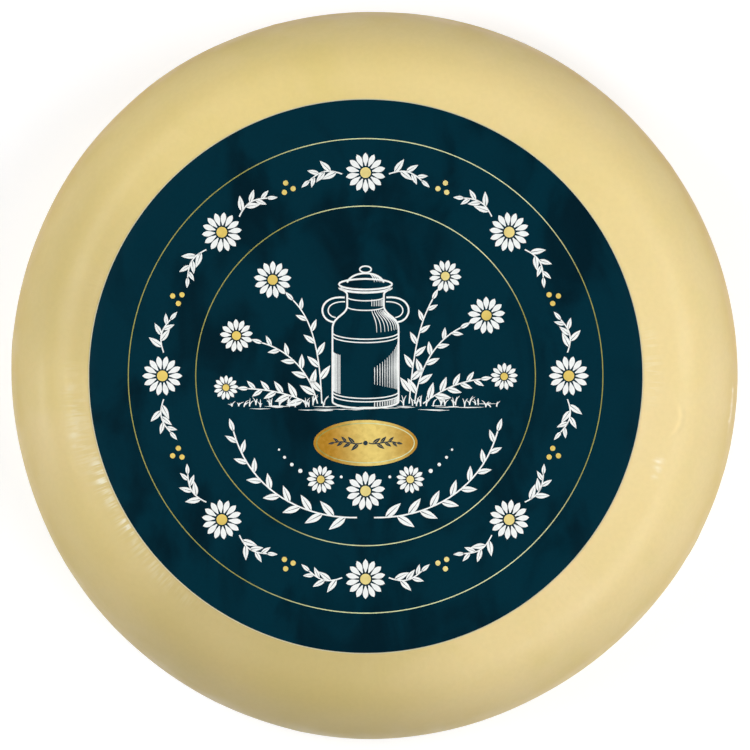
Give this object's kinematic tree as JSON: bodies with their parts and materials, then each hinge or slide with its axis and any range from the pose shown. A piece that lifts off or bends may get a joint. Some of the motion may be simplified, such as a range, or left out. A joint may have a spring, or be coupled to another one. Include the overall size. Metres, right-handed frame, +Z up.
{
  "type": "goat cheese wheel",
  "caption": "Whole round goat cheese wheel with a smooth straw-yellow coating, a bulging side, flat faces and a large round dark label on top.",
  "frame": {"origin": "centre of the flat base that the wheel lies on", "axes": "+Z up through the wheel's thickness, from the base to the labelled face; +Y towards the top edge of the label's design and +X to its right"},
  "size_m": [0.3498, 0.3504, 0.1159],
  "materials": {
    "cheese_coat": "satin food coating brushed over pale goat cheese",
    "label_paper": "dark blue-green printed label paper with a satin varnish",
    "label_gold": "thin gold foil print",
    "label_white": "white ink"
  },
  "bodies": {
    "root": {"cheese_wheel": "cheese_coat", "label": "label_paper"}
  },
  "joints": []
}
